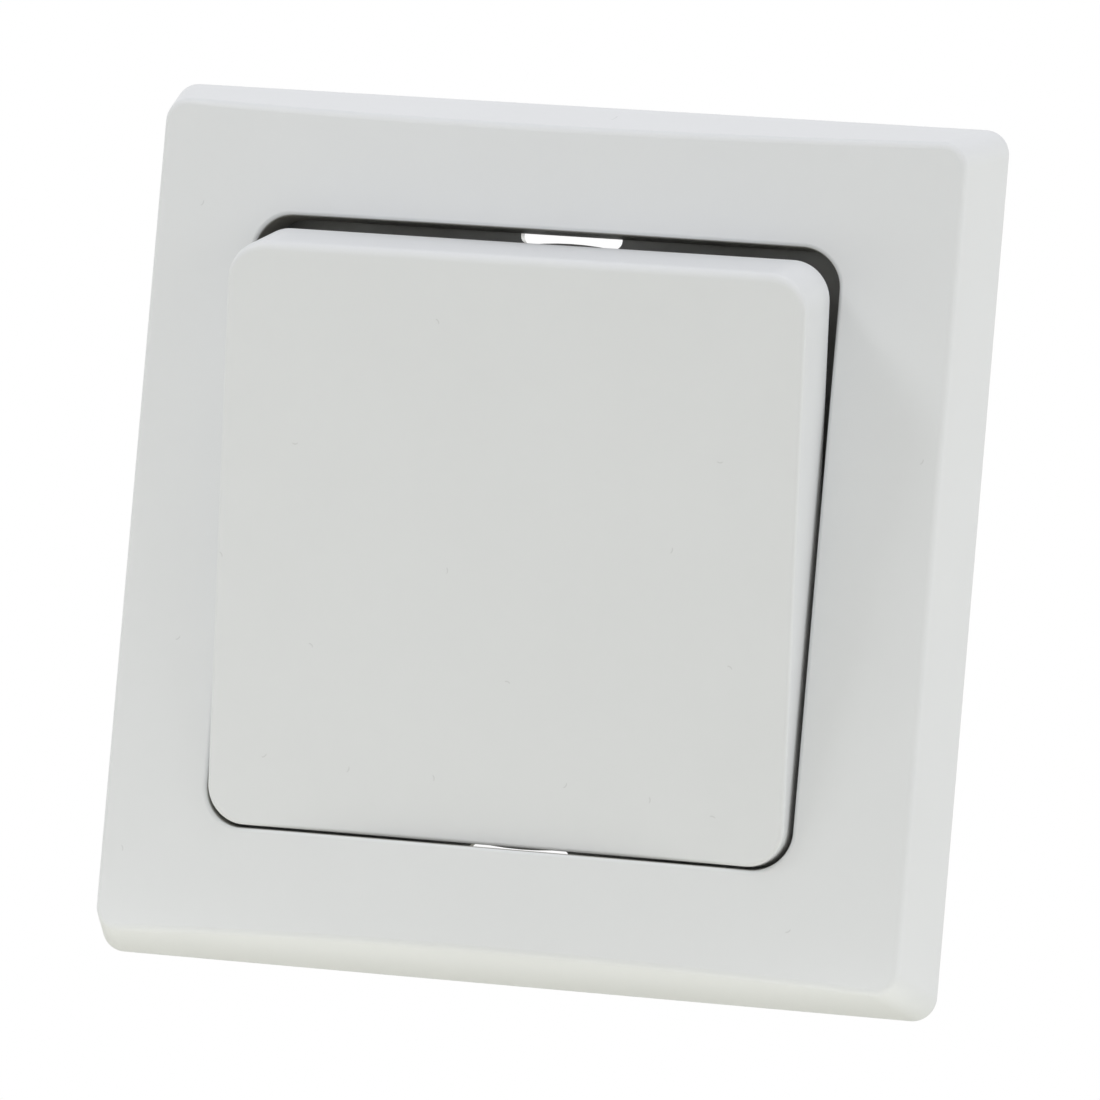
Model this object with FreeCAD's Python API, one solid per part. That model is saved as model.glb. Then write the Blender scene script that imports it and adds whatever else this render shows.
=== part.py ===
"""Flush wall push button: arched cover frame, tilting rocker and contact insert.

Millimetres. X to the right, Y into the wall, Z up. The origin is the middle of
the wall plane, on which the cover frame's rear rim lies.
"""
import FreeCAD, Part
import math
import os

V = FreeCAD.Vector
X_AXIS = V(1, 0, 0)
Y_AXIS = V(0, 1, 0)
Z_AXIS = V(0, 0, 1)

# Cover frame
frame_side = 80.0
frame_height = 10.4
arch_radius = 212.0
side_draft = 15.3
frame_corner_radius = 2.4
inner_corner_radius = 1.0
frame_wall = 2.0
frame_edge_radius = 0.7
opening_side = 55.6
opening_corner_radius = 3.6
opening_edge_radius = 0.4
collar_wall = 1.4
collar_depth = 6.0
post_side = 3.0

# Rocker: cap, carrier and its bearing
tilt = 7.9
pivot_height = 2.67
rocker_reach = 10.33
skirt_depth = 6.8
rocker_side_gap = 0.45
rocker_end_gap = 0.28
cap_corner_radius = 3.5
cap_edge_radius = 0.35
cap_top_edge_radius = 0.9
cap_wall = 1.6
cap_front_wall = 2.0
cap_rib_height = 1.5
cap_rib_thickness = 1.6
cap_rib_length = 26.0
clip_width = 7.0
clip_thickness = 1.2
clip_hook = 0.8
clip_spacing = 16.0
carrier_width = 38.0
carrier_length = 30.0
carrier_thickness = 2.2
arm_thickness = 2.4
arm_radius = 2.6
trunnion_radius = 2.0
ear_spacing = 25.4
ear_thickness = 2.5
ear_width = 7.2
ear_lip = 0.6
throat_width = 3.2
nose_width = 5.0
nose_thickness = 3.0
nose_length = 10.2

# Support ring
ring_margin = 2.5
ring_corner_radius = 4.0
ring_sheet = 1.0
ring_front = 1.4
ring_window = 34.0
ring_window_radius = 5.0
screw_pitch_radius = 30.0
slot_length = 9.7
slot_width = 5.0
slot_drop = 0.15
slot_end_radius = 0.8
tongue_width = 6.0
tongue_height = 3.4
tongue_offset = 15.0

# Insulating base
base_side = 45.0
base_depth = 24.0
base_corner_radius = 8.0
base_chamfer = 1.0
rear_rim = 2.2
rear_recess = 0.8
rear_wall = 1.6
deck_depth = 1.5
deck_width = 32.0
deck_length = 13.0
cavity_width = 12.0
cavity_top = 5.5
cavity_floor = 9.3
cover_ledge = 1.5
cover_sheet = 1.0
rivet_radius = 1.2
rivet_head_radius = 2.0
rivet_head_height = 0.8
rivet_depth = 4.0
rivet_spacing = 39.6

# Contact lever and terminals
lever_width = 6.0
lever_sheet = 1.0
lever_overhang = 0.4
lever_eye_wall = 0.75
pin_radius = 0.8
contact_depth = 8.6
contact_radius = 1.5
contact_height = 0.8
closed_gap = 0.1
strip_sheet = 0.8
bracket_wall = 0.8
block_side = 8.0
block_start = 9.2
block_offset = 11.8
wire_entry = 3.4
wire_funnel = 0.9
terminal_screw_radius = 1.75
terminal_head_radius = 3.0
terminal_head_height = 2.2
terminal_screw_depth = 14.0

# Return spring
spring_radius = 1.85
spring_wire_radius = 0.25
spring_wire_sides = 4
spring_turns = 4.0
spring_depth = 14.2

# Fixing claws
claw_pivot_x = 24.0
claw_pivot_depth = 1.0
claw_lever = 4.3
claw_swing = 15.0
claw_sheet = 1.2
claw_tab = 1.0
claw_width = 7.2
claw_length = 15.5
claw_teeth = 3
claw_trunnion_radius = 1.0
claw_ear = 1.0
claw_ear_radius = 1.6
claw_screw_radius = 1.5
claw_head_radius = 2.0
claw_head_height = 1.6
claw_screw_length = 14.0
claw_nut_side = 5.0
claw_nut_height = 2.4
claw_nut_depth = 8.0

# Clearances
running_clearance = 0.05
screw_clearance = 0.25
seat_clearance = 0.15
moving_clearance = 0.3

# Tolerance for picking edges
picking = 1e-3

# Places that follow from the sizes above
half_frame = frame_side / 2
half_opening = opening_side / 2
draft_slope = math.tan(math.radians(side_draft))
tilt_sin = math.sin(math.radians(tilt))
tilt_cos = math.cos(math.radians(tilt))
pivot = V(0, -pivot_height, 0)
collar_rear = -(frame_height - collar_depth)
half_collar = half_opening + collar_wall
collar_radius = opening_corner_radius + collar_wall
ring_rear = ring_sheet - ring_front
half_ring = half_frame - frame_wall - ring_margin
half_base = base_side / 2
rear_face = base_depth - rear_recess
cavity_depth = rear_face - rear_wall
nose_tip_depth = nose_length * tilt_cos - pivot_height
nose_radius = nose_thickness / 2
lever_top = nose_length * tilt_sin - nose_radius - moving_clearance
lever_height = lever_top - lever_sheet / 2
lever_eye_radius = pin_radius + running_clearance + lever_eye_wall
lever_hinge_depth = cavity_depth - strip_sheet - moving_clearance - lever_eye_radius
nose_travel = 2 * nose_length * tilt_sin
lever_swing = math.degrees(math.asin(nose_travel / (lever_hinge_depth - nose_tip_depth)))
half_bracket = lever_width / 2 + moving_clearance + bracket_wall
claw_screw_x = claw_pivot_x - claw_lever
ear_inner = ear_spacing / 2
ear_outer = ear_inner + ear_thickness


def box(x0, x1, y0, y1, z0, z1):
    """Box between two corners."""
    return Part.makeBox(x1 - x0, y1 - y0, z1 - z0, V(x0, y0, z0))


def rounded_wire(half_x, half_z, radius, y):
    """Rounded rectangle round the Y axis, in the plane at depth y."""
    cx = half_x - radius
    cz = half_z - radius
    bow = radius * math.sqrt(0.5)
    edges = []
    for sx, sz, first_on_x in ((1, 1, True), (-1, 1, False), (-1, -1, True), (1, -1, False)):
        on_x = V(sx * half_x, y, sz * cz)
        on_z = V(sx * cx, y, sz * half_z)
        middle = V(sx * (cx + bow), y, sz * (cz + bow))
        ends = (on_x, on_z) if first_on_x else (on_z, on_x)
        edges.append(Part.Arc(ends[0], middle, ends[1]).toShape())
    sides = []
    for now, following in zip(edges, edges[1:] + edges[:1]):
        start = now.valueAt(now.LastParameter)
        end = following.valueAt(following.FirstParameter)
        sides.append(now)
        sides.append(Part.LineSegment(start, end).toShape())
    return Part.Wire(sides)


def prism(half_x, half_z, radius, y0, y1):
    """Rounded rectangular prism along Y."""
    face = Part.Face(rounded_wire(half_x, half_z, radius, y0))
    return face.extrude(V(0, y1 - y0, 0))


def wedge(front_half, rear_half, y0, y1):
    """Flat-sided block along Y between two rectangles, their halves given as (x, z)."""
    fx, fz = front_half
    rx, rz = rear_half
    return Part.makeWedge(-fx, y0, -fz, -rz, -rx, fx, y1, fz, rz, rx)


def corner_edges(shape):
    """The edges that run from front to rear."""
    return [e for e in shape.Edges if abs(e.Vertexes[0].Y - e.Vertexes[1].Y) > picking]


def rounded(shape, edge_radii):
    """Rounds a closed chain of edges, each with a radius at its last and one at its first vertex."""
    sheet = FreeCAD.newDocument()
    body = sheet.addObject("Part::Feature", "body")
    body.Shape = shape
    fillet = sheet.addObject("Part::Fillet", "fillet")
    fillet.Base = body
    fillet.Edges = [(index + 1, last, first) for index, last, first in edge_radii]
    sheet.recompute()
    result = fillet.Shape.copy()
    FreeCAD.closeDocument(sheet.Name)
    return result


def cylinder(radius, start, direction, length):
    return Part.makeCylinder(radius, length, start, direction)


def tilted(shape):
    """A rocker piece, modelled level, turned to its rest with the upper end out."""
    turned = shape.copy()
    turned.rotate(pivot, X_AXIS, tilt)
    return turned


def arch(offset):
    """The cylinder, arched about the vertical, that bounds the frame's front."""
    radius = arch_radius - offset
    start = V(0, arch_radius - frame_height, -frame_side)
    return cylinder(radius, start, Z_AXIS, 2 * frame_side)


def arch_edges(shape, inner):
    """Edges on the arched front, round the opening (inner) or round the outside."""
    axis_y = arch_radius - frame_height
    found = []
    for edge in shape.Edges:
        points = edge.discretize(5)
        on_arch = all(abs(math.hypot(p.x, p.y - axis_y) - arch_radius) < picking for p in points)
        limit = half_opening + opening_edge_radius
        inside = all(max(abs(p.x), abs(p.z)) < limit for p in points)
        if on_arch and inside == inner:
            found.append(edge)
    return found


def drafted_block(half):
    """Drafted block from the wall to a plane just clear of the arch."""
    top = frame_height + frame_wall
    end = half - top * draft_slope
    return wedge((end, end), (half, half), -top, 0)


def cover_frame():
    """Hollow drafted frame with an arched front, a collar and seats on the ring."""
    block = drafted_block(half_frame)
    block = block.makeFillet(frame_corner_radius, corner_edges(block))
    body = block.common(arch(0))
    body = body.makeFillet(frame_edge_radius, arch_edges(body, False))
    opening = prism(half_opening, half_opening, opening_corner_radius, -2 * frame_height, frame_height)
    body = body.cut(opening)
    body = body.makeFillet(opening_edge_radius, arch_edges(body, True))
    inside = drafted_block(half_frame - frame_wall)
    inside = inside.makeFillet(inner_corner_radius, corner_edges(inside))
    inside = inside.common(arch(frame_wall))
    collar = prism(half_collar, half_collar, collar_radius, -2 * frame_height, collar_rear)
    hollow = inside.cut(collar)
    body = body.cut(hollow)
    seat = half_ring - ring_corner_radius
    half_post = post_side / 2
    for sx in (-1, 1):
        for sz in (-1, 1):
            post = box(-half_post, half_post, -frame_height, -ring_front, -half_post, half_post)
            post.translate(V(sx * seat, 0, sz * seat))
            body = body.fuse(post.common(hollow))
    return body.removeSplitter()


def cap_half(depth):
    """Half length of the cap, depth behind its front, that clears the opening's end when tilted."""
    behind = rocker_reach - depth
    return (half_opening - rocker_end_gap - behind * tilt_sin) / tilt_cos


def rocker_cap():
    """Hollow rocker cover with drafted ends, spacer ribs and four snap hooks."""
    front = -pivot_height - rocker_reach
    rim = front + skirt_depth
    half_x = half_opening - rocker_side_gap
    front_half = cap_half(cap_edge_radius)
    rim_half = cap_half(skirt_depth)
    body = wedge((half_x, front_half), (half_x, rim_half), front, rim)
    body = body.makeFillet(cap_corner_radius, corner_edges(body))
    straight_top = front_half - cap_corner_radius
    edge_radii = []
    for index, edge in enumerate(body.Edges):
        ends = [edge.lastVertex(True).Point, edge.firstVertex(True).Point]
        if all(abs(p.y - front) < picking for p in ends):
            on_top = [p.z > straight_top + picking for p in ends]
            edge_radii.append((index, *[cap_top_edge_radius if top else cap_edge_radius for top in on_top]))
    body = rounded(body, edge_radii)
    inner_x = half_x - cap_wall
    inner_front = front_half - cap_wall
    inner_rim = rim_half - cap_wall
    roof = front + cap_front_wall
    hollow = wedge((inner_x, inner_front), (inner_x, inner_rim), roof, rim)
    body = body.cut(hollow.makeFillet(cap_corner_radius - cap_wall, corner_edges(hollow)))
    seat = roof + cap_rib_height
    rib_half = cap_rib_thickness / 2
    for sz in (-1, 1):
        rib_z = sz * (carrier_length / 2 - cap_rib_thickness)
        rib = box(-cap_rib_length / 2, cap_rib_length / 2, roof, seat, rib_z - rib_half, rib_z + rib_half)
        body = body.fuse(rib)
    hook_rear = seat + carrier_thickness + seat_clearance
    arm_x = carrier_width / 2 + seat_clearance
    clip_rear = hook_rear + clip_hook
    for sz in (-1, 1):
        z0 = sz * clip_spacing / 2 - clip_width / 2
        z1 = z0 + clip_width
        arm = box(arm_x, arm_x + clip_thickness, roof, clip_rear, z0, z1)
        hook = box(arm_x - clip_hook, arm_x, hook_rear, clip_rear, z0, z1)
        clip = arm.fuse(hook)
        body = body.fuse(clip)
        body = body.fuse(clip.mirror(V(0, 0, 0), X_AXIS))
    return tilted(body.removeSplitter())


def rocker_carrier():
    """Plate inside the cap with two trunnion arms and the nose that works the contact."""
    plate_front = -pivot_height - rocker_reach + cap_front_wall + cap_rib_height
    plate_rear = plate_front + carrier_thickness
    body = prism(carrier_width / 2, carrier_length / 2, arm_radius, plate_front, plate_rear)
    arm_outer = ear_inner - moving_clearance
    arm_inner = arm_outer - arm_thickness
    pin_end = ear_outer + moving_clearance
    for side in (-1, 1):
        low = min(side * arm_inner, side * arm_outer)
        arm = box(low, low + arm_thickness, plate_rear, -pivot_height, -arm_radius, arm_radius)
        arm = arm.fuse(cylinder(arm_radius, V(low, -pivot_height, 0), X_AXIS, arm_thickness))
        start = V(side * arm_outer, -pivot_height, 0)
        arm = arm.fuse(cylinder(trunnion_radius, start, X_AXIS * side, pin_end - arm_outer))
        body = body.fuse(arm)
    tip = nose_length - pivot_height
    half_nose = nose_width / 2
    nose = box(-half_nose, half_nose, plate_rear, tip, -nose_radius, nose_radius)
    nose = nose.fuse(cylinder(nose_radius, V(-half_nose, tip, 0), X_AXIS, nose_width))
    return tilted(body.fuse(nose).removeSplitter())


def arc_slot(sign):
    """Square-ended curved slot for a box screw, above (1) or below (-1) the middle."""
    outer = screw_pitch_radius + slot_width / 2
    inner = screw_pitch_radius - slot_width / 2
    band = cylinder(outer, V(0, -frame_height, 0), Y_AXIS, 2 * frame_height)
    band = band.cut(cylinder(inner, V(0, -frame_height, 0), Y_AXIS, 2 * frame_height))
    reach = sign * 2 * screw_pitch_radius
    half = slot_length / 2
    sector = box(-half, half, -frame_height, frame_height, min(0, reach), max(0, reach))
    slot = band.common(sector)
    slot = slot.makeFillet(slot_end_radius, corner_edges(slot))
    slot.translate(V(0, 0, -slot_drop))
    return slot


def claw_ears():
    """Bent lugs behind the ring that carry one claw's trunnions, on the right."""
    rear = claw_pivot_depth
    inner = claw_width / 2 + seat_clearance
    x0 = claw_pivot_x - claw_ear_radius
    x1 = claw_pivot_x + claw_ear_radius
    bore_radius = claw_trunnion_radius + running_clearance
    ears = []
    for sz in (-1, 1):
        low = min(sz * inner, sz * (inner + claw_ear))
        start = V(claw_pivot_x, rear, low)
        lug = box(x0, x1, ring_rear, rear, low, low + claw_ear)
        lug = lug.fuse(cylinder(claw_ear_radius, start, Z_AXIS, claw_ear))
        ears.append(lug.cut(cylinder(bore_radius, start, Z_AXIS, claw_ear)))
    return ears


def rivet_places():
    """Middles, across and up, of the rivets above and below the window."""
    return [(0, sz * rivet_spacing / 2) for sz in (-1, 1)]


def support_ring():
    """Pressed steel plate: turned-back rim, window, screw slots, frame tongues and claw lugs."""
    body = prism(half_ring, half_ring, ring_corner_radius, -ring_front, 0)
    inner_half = half_ring - ring_sheet
    body = body.cut(prism(inner_half, inner_half, ring_corner_radius - ring_sheet, ring_rear, frame_height))
    window = ring_window / 2
    body = body.cut(prism(window, window, ring_window_radius, -frame_height, frame_height))
    for sign in (-1, 1):
        body = body.cut(arc_slot(sign))
    tongue_low = half_collar + seat_clearance
    for sx in (-1, 1):
        for sz in (-1, 1):
            x0 = sx * tongue_offset - tongue_width / 2
            x1 = x0 + tongue_width
            z0 = sz * tongue_low
            z1 = sz * (tongue_low + ring_sheet)
            z2 = sz * (tongue_low + ring_sheet + tongue_height)
            tongue = box(x0, x1, -ring_front - tongue_height, ring_rear, min(z0, z1), max(z0, z1))
            punched = box(x0, x1, -ring_front, ring_rear, min(z1, z2), max(z1, z2))
            body = body.cut(punched).fuse(tongue)
    hole_radius = claw_head_radius + screw_clearance
    for sx in (-1, 1):
        start = V(sx * claw_screw_x, -frame_height, 0)
        body = body.cut(cylinder(hole_radius, start, Y_AXIS, 2 * frame_height))
        for ear in claw_ears():
            body = body.fuse(ear if sx > 0 else ear.mirror(V(0, 0, 0), X_AXIS))
    for x, z in rivet_places():
        body = body.cut(cylinder(rivet_radius, V(x, -frame_height, z), Y_AXIS, 2 * frame_height))
    return body.removeSplitter()


def ring_rivets():
    """Two drive rivets that hold the ring on the base."""
    rivets = []
    for x, z in rivet_places():
        seat = V(x, -ring_front, z)
        head = cylinder(rivet_head_radius, seat, -Y_AXIS, rivet_head_height)
        shank = cylinder(rivet_radius, seat, Y_AXIS, ring_front + rivet_depth)
        rivets.append(head.fuse(shank).removeSplitter())
    return Part.makeCompound(rivets)


def bearing_ear(side):
    """Snap bearing for one trunnion, open to the front through a narrow throat."""
    low = min(side * ear_inner, side * ear_outer)
    lip = -pivot_height - trunnion_radius - ear_lip
    ear = box(low, low + ear_thickness, lip, deck_depth, -ear_width / 2, ear_width / 2)
    bore = cylinder(trunnion_radius + running_clearance, V(low, -pivot_height, 0), X_AXIS, ear_thickness)
    throat = box(low, low + ear_thickness, lip, -pivot_height, -throat_width / 2, throat_width / 2)
    return ear.cut(bore).cut(throat)


def terminal_room(sign):
    """Space in the base for one terminal block, its screw and its wire."""
    half = block_side / 2 + seat_clearance
    z0 = sign * (block_offset - seat_clearance)
    z1 = sign * base_side
    rear = cavity_depth + seat_clearance
    room = box(-half, half, block_start - seat_clearance, rear, min(z0, z1), max(z0, z1))
    half_wire = wire_entry / 2
    half_mouth = half_wire + wire_funnel
    entry = box(-half_wire, half_wire, cavity_depth, rear_face, -half_wire, half_wire)
    mouth = wedge((half_wire, half_wire), (half_mouth, half_mouth), rear_face - wire_funnel, rear_face)
    entry = entry.fuse(mouth)
    entry.translate(V(0, 0, sign * (block_offset + block_side / 2)))
    return room.fuse(entry)


def riser_room(y, z0, z1):
    """Slot through the wall between the cavity and a terminal block, for the strip's riser."""
    half = lever_width / 2 + seat_clearance
    return box(-half, half, y - seat_clearance, y + strip_sheet + seat_clearance, z0, z1)


def claw_room():
    """Base recess for one claw's tab, its screw and its nut, on the right."""
    half = claw_width / 2 + seat_clearance + claw_ear + seat_clearance
    tab_reach = claw_lever + claw_head_radius
    swing = tab_reach * math.sin(math.radians(claw_swing))
    floor = claw_pivot_depth + claw_tab / 2 + swing + moving_clearance
    inner = claw_pivot_x - tab_reach - moving_clearance
    room = box(inner, base_side, -frame_height, floor, -half, half)
    bore_radius = claw_screw_radius + screw_clearance
    bore_end = claw_screw_length + claw_pivot_depth + moving_clearance
    room = room.fuse(cylinder(bore_radius, V(claw_screw_x, 0, 0), Y_AXIS, bore_end))
    half_nut = claw_nut_side / 2 + seat_clearance
    nut = box(claw_screw_x - half_nut, base_side, claw_nut_depth - seat_clearance,
              claw_nut_depth + claw_nut_height + seat_clearance, -half_nut, half_nut)
    return room.fuse(nut)


def base():
    """Moulded insulating body behind the ring with the bearings and the contact cavity."""
    body = prism(half_base, half_base, base_corner_radius, ring_rear, base_depth)
    rear_edges = [e for e in body.Edges if all(abs(p.y - base_depth) < picking for p in e.discretize(3))]
    body = body.makeChamfer(base_chamfer, rear_edges)
    panel = half_base - rear_rim
    panel_radius = base_corner_radius - rear_rim
    body = body.cut(prism(panel, panel, panel_radius, rear_face, base_depth))
    half_deck = deck_width / 2
    deck_top = deck_length / 2
    body = body.cut(box(-half_deck, half_deck, -frame_height, deck_depth, -deck_top, deck_top))
    half_cavity = cavity_width / 2
    body = body.cut(box(-half_cavity, half_cavity, -frame_height, cavity_depth, -cavity_floor, cavity_top))
    body = body.cut(cover_plate(cover_ledge, -frame_height))
    for sign in (-1, 1):
        body = body.cut(terminal_room(sign))
        body = body.fuse(bearing_ear(sign))
    body = body.cut(riser_room(cavity_depth - strip_sheet, 0, block_offset))
    body = body.cut(riser_room(load_riser_depth(), -block_offset, 0))
    room = claw_room()
    body = body.cut(room).cut(room.mirror(V(0, 0, 0), X_AXIS))
    for x, z in rivet_places():
        body = body.cut(cylinder(rivet_radius, V(x, -frame_height, z), Y_AXIS, frame_height + rivet_depth))
    return body.removeSplitter()


def cover_plate(margin, front):
    """Plate over the contact cavity, wider than it by a margin, from a front to the deck."""
    half = cavity_width / 2 + margin
    return box(-half, half, front, deck_depth, -cavity_floor - margin, cavity_top + margin)


def contact_cover():
    """Insulating plate on the ledge round the cavity, with a slot in which the nose swings."""
    plate = cover_plate(cover_ledge - seat_clearance, deck_depth - cover_sheet)
    half_x = nose_width / 2 + moving_clearance
    half_z = (nose_radius + (pivot_height + deck_depth) * tilt_sin) / tilt_cos + moving_clearance
    return plate.cut(box(-half_x, half_x, -frame_height, frame_height, -half_z, half_z))


def contact_lever():
    """Hinged contact arm that the nose presses down."""
    half = lever_width / 2
    front = contact_depth - contact_radius - lever_overhang
    low = lever_height - lever_sheet / 2
    blade = box(-half, half, front, lever_hinge_depth, low, low + lever_sheet)
    hinge = V(-half, lever_hinge_depth, lever_height)
    blade = blade.fuse(cylinder(lever_eye_radius, hinge, X_AXIS, lever_width))
    blade = blade.cut(cylinder(pin_radius + running_clearance, hinge, X_AXIS, lever_width))
    return blade.removeSplitter()


def contact_pin():
    """Hinge pin of the contact arm, held in the line terminal's bracket."""
    return cylinder(pin_radius, V(-half_bracket, lever_hinge_depth, lever_height), X_AXIS, 2 * half_bracket)


def moving_contact():
    """Contact button under the lever."""
    start = V(0, contact_depth, lever_height - lever_sheet / 2)
    return cylinder(contact_radius, start, -Z_AXIS, contact_height)


def fixed_contact_top():
    """Height of the fixed contact's face, just under the closed moving contact's lower edge."""
    swing = math.radians(lever_swing)
    along = lever_hinge_depth - contact_depth + contact_radius
    below = lever_sheet / 2 + contact_height
    drop = along * math.sin(swing) + below * math.cos(swing)
    return lever_height - drop - closed_gap


def load_strip_top():
    return fixed_contact_top() - contact_height


def load_riser_depth():
    """Depth of the load strip's riser, just behind the fixed contact."""
    return contact_depth + contact_radius + strip_sheet / 2


def fixed_contact():
    """Contact button on the load terminal's strip."""
    return cylinder(contact_radius, V(0, contact_depth, fixed_contact_top()), -Z_AXIS, contact_height)


def terminal_block(sign):
    """Clamp block with a square wire entry from the rear and a screw hole from outside."""
    half = block_side / 2
    near = block_offset
    far = block_offset + block_side
    low = near if sign > 0 else -far
    return box(-half, half, block_start, cavity_depth, low, low + block_side)


def drill_terminal(shape, sign):
    middle = sign * (block_offset + block_side / 2)
    half_wire = wire_entry / 2
    wire = box(-half_wire, half_wire, block_start, cavity_depth, middle - half_wire, middle + half_wire)
    start = V(0, terminal_screw_depth, middle)
    hole = cylinder(terminal_screw_radius, start, Z_AXIS * sign, block_side)
    return shape.cut(wire).cut(hole)


def line_terminal():
    """Brass bracket that carries the lever's pin, with a riser to the upper clamp block."""
    reach = lever_eye_radius + strip_sheet / 2
    back = cavity_depth - strip_sheet
    half_strip = lever_width / 2
    z0 = lever_height - reach
    z1 = lever_height + reach
    body = box(-half_bracket, half_bracket, back, cavity_depth, z0, z1)
    for side in (-1, 1):
        low = min(side * half_bracket, side * (half_bracket - bracket_wall))
        ear = box(low, low + bracket_wall, lever_hinge_depth - reach, back, z0, z1)
        hole = cylinder(pin_radius, V(low, lever_hinge_depth, lever_height), X_AXIS, bracket_wall)
        body = body.fuse(ear.cut(hole))
    riser = box(-half_strip, half_strip, back, cavity_depth, lever_height, block_offset)
    body = body.fuse(riser).fuse(terminal_block(1))
    return drill_terminal(body, 1).removeSplitter()


def load_terminal():
    """Brass strip under the lever with a riser to the lower clamp block."""
    half_strip = lever_width / 2
    top = load_strip_top()
    front = contact_depth - contact_radius - strip_sheet / 2
    riser_depth = load_riser_depth()
    rear = riser_depth + strip_sheet
    body = box(-half_strip, half_strip, front, rear, top - strip_sheet, top)
    riser = box(-half_strip, half_strip, riser_depth, rear, -block_offset, top)
    body = body.fuse(riser).fuse(terminal_block(-1))
    return drill_terminal(body, -1).removeSplitter()


def terminal_screws():
    """One clamp screw in each terminal block."""
    shank_length = (block_side - wire_entry) / 2
    screws = []
    for sign in (-1, 1):
        seat = V(0, terminal_screw_depth, sign * (block_offset + block_side))
        head = cylinder(terminal_head_radius, seat, Z_AXIS * sign, terminal_head_height)
        shank = cylinder(terminal_screw_radius, seat, Z_AXIS * -sign, shank_length)
        screws.append(head.fuse(shank).removeSplitter())
    return Part.makeCompound(screws)


def return_spring():
    """Coil spring that stands on the cavity floor and lifts the lever and the nose."""
    low = -cavity_floor + spring_wire_radius
    high = lever_height - lever_sheet / 2 - seat_clearance - spring_wire_radius
    length = high - low
    helix = Part.makeHelix(length / spring_turns, length, spring_radius)
    corners = []
    for side in range(spring_wire_sides + 1):
        angle = 2 * math.pi * side / spring_wire_sides
        out = spring_radius + spring_wire_radius * math.cos(angle)
        corners.append(V(out, 0, spring_wire_radius * math.sin(angle)))
    section = Part.makePolygon(corners)
    coil = Part.Wire(helix).makePipeShell([section], True, True)
    coil.translate(V(0, spring_depth, low))
    return coil


def claw():
    """Angled claw on the right: slotted tab under the screw head, toothed arm beside the base."""
    half = claw_width / 2
    tab_front = claw_pivot_depth - claw_tab / 2
    tab_rear = tab_front + claw_tab
    tab_reach = claw_lever + claw_head_radius
    outer = claw_pivot_x + claw_sheet / 2
    arm_end = claw_pivot_depth + claw_length
    tab = box(claw_pivot_x - tab_reach, outer, tab_front, tab_rear, -half, half)
    arm = box(outer - claw_sheet, outer, tab_front, arm_end, -half, half)
    body = tab.fuse(arm)
    half_fork = claw_screw_radius + screw_clearance
    fork_end = claw_screw_x + half_fork
    body = body.cut(box(claw_pivot_x - tab_reach, fork_end, tab_front, tab_rear, -half_fork, half_fork))
    tooth = claw_width / claw_teeth / 2
    for index in range(claw_teeth):
        z = -half + (2 * index + 1) * tooth
        notch = [V(outer, arm_end, z - tooth), V(outer, arm_end - tooth, z), V(outer, arm_end, z + tooth)]
        face = Part.Face(Part.makePolygon(notch + notch[:1]))
        body = body.cut(face.extrude(V(-claw_sheet, 0, 0)))
    pin_half = half + seat_clearance + claw_ear
    pin = cylinder(claw_trunnion_radius, V(claw_pivot_x, claw_pivot_depth, -pin_half), Z_AXIS, 2 * pin_half)
    return body.fuse(pin).removeSplitter()


def claw_screw():
    """Pan head screw that pushes the claw's tab, on the right."""
    under = V(claw_screw_x, claw_pivot_depth - claw_tab / 2 - seat_clearance, 0)
    head = cylinder(claw_head_radius, under, -Y_AXIS, claw_head_height)
    shank = cylinder(claw_screw_radius, under, Y_AXIS, claw_screw_length)
    return head.fuse(shank).removeSplitter()


def claw_nuts():
    """Square nuts in the base for the claw screws."""
    half = claw_nut_side / 2
    nut_rear = claw_nut_depth + claw_nut_height
    nut = box(claw_screw_x - half, claw_screw_x + half, claw_nut_depth, nut_rear, -half, half)
    bore_radius = claw_screw_radius + running_clearance
    nut = nut.cut(cylinder(bore_radius, V(claw_screw_x, claw_nut_depth, 0), Y_AXIS, claw_nut_height))
    return Part.makeCompound([nut, nut.mirror(V(0, 0, 0), X_AXIS)])


def left_of(shape):
    """The left-hand twin of a right-hand piece."""
    return shape.mirror(V(0, 0, 0), X_AXIS)


NODES = {
    "cover_frame": cover_frame,
    "rocker_cap": rocker_cap,
    "rocker_carrier": rocker_carrier,
    "support_ring": support_ring,
    "ring_rivets": ring_rivets,
    "base": base,
    "contact_cover": contact_cover,
    "contact_lever": contact_lever,
    "contact_pin": contact_pin,
    "moving_contact": moving_contact,
    "fixed_contact": fixed_contact,
    "line_terminal": line_terminal,
    "load_terminal": load_terminal,
    "terminal_screws": terminal_screws,
    "return_spring": return_spring,
    "claw_right": claw,
    "claw_left": lambda: left_of(claw()),
    "claw_screw_right": claw_screw,
    "claw_screw_left": lambda: left_of(claw_screw()),
    "claw_nuts": claw_nuts,
}

os.makedirs("parts", exist_ok=True)
for node, make in NODES.items():
    shape = make()
    print(node, len(shape.Solids), shape.isValid(), round(shape.Volume, 2))
    shape.exportStep("parts/" + node + ".step")
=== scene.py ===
import math

import bmesh
import bpy
from bpy.props import FloatProperty, FloatVectorProperty, PointerProperty
from bpy.types import Operator, Panel, PropertyGroup
from mathutils import Matrix, Vector


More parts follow.
